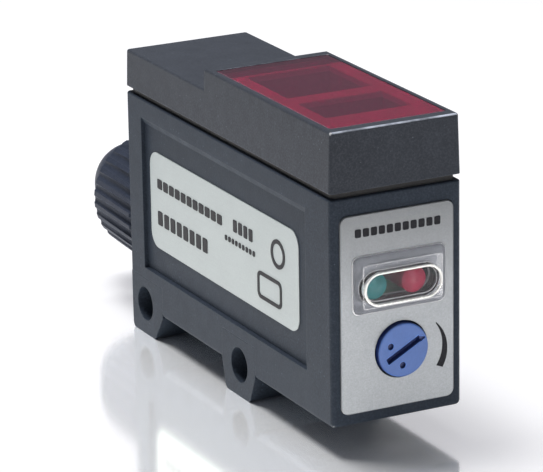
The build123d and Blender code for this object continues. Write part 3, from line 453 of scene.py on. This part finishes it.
# one finish for each material slot of the record
looks = {
    "housing": moulded_plastic(
        "housing_plastic",
        dark_grey,
        roughness=0.46,
        grain=0.28 * MM,
        grain_depth=0.02 * MM,
        edge=0.16 * MM,
        speck=0.6,
        # edges lighter, partly wear and partly a painted highlight
        wear_and_highlight=2.0,
        # painted highlight along the front right edge
        painted_highlights=((front_right_edge, 0.12, (0.13, 0.14, 0.16, 1.0)),),
    ),
    "head": moulded_plastic(
        "head_plastic",
        head_grey,
        roughness=0.40,
        grain=0.24 * MM,
        grain_depth=0.014 * MM,
        edge=0.16 * MM,
        speck=0.5,
        # edges lighter, partly wear and partly a painted highlight
        wear_and_highlight=2.4,
        # painted highlights: front top edge line, front left corner glint, front right edge
        painted_highlights=(
            (front_top_edge, 0.10, (0.42, 0.45, 0.52, 1.0)),
            (front_left_corner, 0.16, (0.9, 0.9, 0.92, 1.0)),
            (front_right_edge, 0.12, (0.10, 0.11, 0.12, 1.0)),
        ),
    ),
    "gasket": rubber("gasket_rubber", (0.010, 0.010, 0.011, 1.0)),
    "filter": see_through(
        "red_filter",
        tint=(0.36, 0.020, 0.13, 1.0),
        roughness=0.02,
        ior=1.3,
        dust_and_highlight_colour=(0.62, 0.40, 0.47, 1.0),
        shadow_tint=(0.85, 0.30, 0.40, 1.0),
        edge=0.10 * MM,
        # pale opaque edges: a painted highlight
        edge_highlight=0.8,
        haze=0.058,
    ),
    "optics_frame": moulded_plastic(
        "optics_frame_plastic",
        (0.20, 0.17, 0.18, 1.0),
        roughness=0.45,
        grain=0.3 * MM,
        grain_depth=0.01 * MM,
        wear_and_highlight=1.2,
    ),
    "lens": see_through(
        "lens_acrylic",
        tint=(0.95, 0.96, 0.97, 1.0),
        roughness=0.01,
        ior=1.49,
        dust_and_highlight_colour=(0.8, 0.8, 0.82, 1.0),
        shadow_tint=(0.95, 0.95, 0.95, 1.0),
    ),
    "black_plastic": moulded_plastic(
        "optics_black", black, roughness=0.6, grain=0.3 * MM, grain_depth=0.015 * MM
    ),
    "board": circuit_board("board", (0.01, 0.07, 0.035, 1.0), (0.65, 0.5, 0.25, 1.0)),
    "led_clear": coloured_lens("led_epoxy", (0.75, 0.72, 0.66, 1.0), (0.9, 0.88, 0.82, 1.0)),
    "chip": moulded_plastic(
        "chip_epoxy",
        (0.02, 0.02, 0.022, 1.0),
        roughness=0.42,
        grain=0.12 * MM,
        grain_depth=0.008 * MM,
    ),
    "capacitor": moulded_plastic(
        "capacitor_sleeve",
        (0.03, 0.05, 0.16, 1.0),
        roughness=0.35,
        grain=0.5 * MM,
        grain_depth=0.006 * MM,
    ),
    "connector": moulded_plastic(
        "connector_nylon",
        (0.62, 0.58, 0.48, 1.0),
        roughness=0.45,
        grain=0.3 * MM,
        grain_depth=0.01 * MM,
    ),
    "terminal": moulded_plastic(
        "terminal_nylon",
        (0.06, 0.16, 0.09, 1.0),
        roughness=0.5,
        grain=0.3 * MM,
        grain_depth=0.01 * MM,
    ),
    "screw_metal": turned_metal("zinc", (0.62, 0.63, 0.64, 1.0), roughness=0.34),
    "green_guide": coloured_lens("green_guide", (0.001, 0.19, 0.19, 1.0), (0.01, 0.28, 0.27, 1.0)),
    "red_guide": coloured_lens("red_guide", (0.37, 0.002, 0.045, 1.0), (0.50, 0.02, 0.05, 1.0)),
    "clear_window": see_through(
        "clear_polycarbonate",
        tint=(0.90, 0.90, 0.93, 1.0),
        roughness=0.03,
        ior=1.33,
        dust_and_highlight_colour=(0.95, 0.95, 0.97, 1.0),
        shadow_tint=(0.92, 0.92, 0.94, 1.0),
        edge=0.28 * MM,
        # pale opaque edges: a painted highlight
        edge_highlight=1.0,
        haze=0.01,
    ),
    "plate": silver_film(
        "plate_film",
        (0.25, 0.265, 0.283, 1.0),
        metallic=0.45,
        flake_size=0.16 * MM,
        flake_gain=0.16,
        roughness=0.42,
        scratch_stretch=(1.0, 1.0, 0.03),
        # painted shade towards the top of the plate
        painted_top_shade=(20 * MM, 34 * MM, 0.35),
    ),
    "print": ink("black_ink", (0.010, 0.010, 0.013, 1.0)),
    "label": silver_film(
        "label_film",
        (0.265, 0.295, 0.30, 1.0),
        metallic=0.2,
        flake_size=0.14 * MM,
        flake_gain=0.06,
        roughness=0.36,
        scratch_stretch=(1.0, 0.03, 1.0),
    ),
    "trimmer": plastic_with_painted_shade(
        "trimmer_acetal",
        face_colour=(0.045, 0.102, 0.30, 1.0),
        # dark navy painted as shade on the side wall, the slot and the dimples
        painted_shade_colour=(0.006, 0.014, 0.085, 1.0),
        face_y=trimmer_face_y,
    ),
    "white_plastic": moulded_plastic(
        "white_nylon",
        (0.72, 0.72, 0.70, 1.0),
        roughness=0.4,
        grain=0.3 * MM,
        grain_depth=0.006 * MM,
        wear_and_highlight=1.05,
    ),
    "gland": moulded_plastic(
        "gland_nylon",
        gland_grey,
        roughness=0.42,
        grain=0.3 * MM,
        grain_depth=0.012 * MM,
        speck=0.25,
        wear_and_highlight=1.9,
    ),
}

for subpart in frame["record"]["subparts"]:
    mesh = nodes[subpart["node"]].data
    mesh.materials.clear()
    mesh.materials.append(looks[subpart["material_slot"]])

# ---------------------------------------------------------------- stage
floor_half = 3.0
floor_tone_size = 0.25
# share of the floor's shader that mirrors, and that mirror's gain for each colour channel
mirror_share = 0.68
mirror_gain = (3.0, 2.92, 2.75, 1.0)
mirror_roughness = 0.11

floor_mesh = bpy.data.meshes.new("floor")
floor_corners = [
    (-floor_half, -floor_half, 0),
    (floor_half, -floor_half, 0),
    (floor_half, floor_half, 0),
    (-floor_half, floor_half, 0),
]
floor_mesh.from_pydata(floor_corners, [], [(0, 1, 2, 3)])
floor = bpy.data.objects.new("floor", floor_mesh)
bpy.context.scene.collection.objects.link(floor)
floor_material, floor_tree, floor_output = new_material("pale_floor")
floor_tone = spread(floor_tree, noise(floor_tree, floor_tone_size), 0.86, 0.9)
floor_colour = floor_tree.nodes.new("ShaderNodeCombineColor")
for channel in ("Red", "Green", "Blue"):
    put(floor_colour.inputs[channel], floor_tone)
floor_matt = floor_tree.nodes.new("ShaderNodeBsdfDiffuse")
put(floor_matt.inputs["Color"], floor_colour.outputs["Color"])
floor_gloss = floor_tree.nodes.new("ShaderNodeBsdfGlossy")
put(floor_gloss.inputs["Color"], mirror_gain)
put(floor_gloss.inputs["Roughness"], mirror_roughness)
floor_mix = floor_tree.nodes.new("ShaderNodeMixShader")
put(floor_mix.inputs["Fac"], mirror_share)
put(floor_mix.inputs[1], floor_matt.outputs["BSDF"])
put(floor_mix.inputs[2], floor_gloss.outputs["BSDF"])
put(floor_output.inputs["Surface"], floor_mix.outputs["Shader"])
floor_mesh.materials.append(floor_material)

# soft lamps that face the object: name, place, width, height and power in watts
lamps = (
    ("key", (-0.55, -0.12, 0.42), 0.30, 0.30, 0.05),
    ("overhead_left", (-0.085, 0.13, 0.57), 0.18, 0.18, 5.5),
    ("overhead_right", (0.08, 0.16, 0.60), 0.24, 0.24, 0.7),
    ("front", (0.14, -0.70, 0.20), 0.35, 0.25, 0.78),
)
lamp_aim = Vector((0.0, 0.0, 0.02))
for lamp_name, lamp_place, lamp_width, lamp_height, lamp_power in lamps:
    lamp_data = bpy.data.lights.new(lamp_name, "AREA")
    lamp_data.shape = "RECTANGLE"
    lamp_data.size = lamp_width
    lamp_data.size_y = lamp_height
    lamp_data.energy = lamp_power
    lamp = bpy.data.objects.new(lamp_name, lamp_data)
    lamp.location = lamp_place
    lamp.rotation_mode = "QUATERNION"
    lamp.rotation_quaternion = (lamp_aim - Vector(lamp_place)).to_track_quat("-Z", "Y")
    bpy.context.scene.collection.objects.link(lamp)

world_colour = (0.88, 0.90, 1.0, 1.0)
world_strength = 0.28
world = bpy.data.worlds.new("studio")
bpy.context.scene.world = world
world.use_nodes = True
background = world.node_tree.nodes["Background"]
background.inputs["Color"].default_value = world_colour
background.inputs["Strength"].default_value = world_strength
bpy.context.scene.view_settings.view_transform = "Standard"

# ---------------------------------------------------------------- camera
view_azimuth = radians(-26.847)
view_elevation = radians(17.726)
view_roll = radians(0.951)
camera_place = (-0.20399, -0.40859, 0.16213)
lens_length_mm = 244.07
sensor_width_mm = 36.0
near_clip = 0.05
far_clip = 20.0
camera_data = bpy.data.cameras.new("camera")
camera_data.lens = lens_length_mm
camera_data.sensor_width = sensor_width_mm
camera_data.clip_start = near_clip
camera_data.clip_end = far_clip
camera = bpy.data.objects.new("camera", camera_data)
camera.location = camera_place
towards_camera = Vector(
    (
        sin(view_azimuth) * cos(view_elevation),
        -cos(view_azimuth) * cos(view_elevation),
        sin(view_elevation),
    )
)
level_view = (-towards_camera).to_track_quat("-Z", "Y")
camera.rotation_mode = "QUATERNION"
camera.rotation_quaternion = level_view @ Quaternion((0, 0, 1), -view_roll)
bpy.context.scene.collection.objects.link(camera)
bpy.context.scene.camera = camera
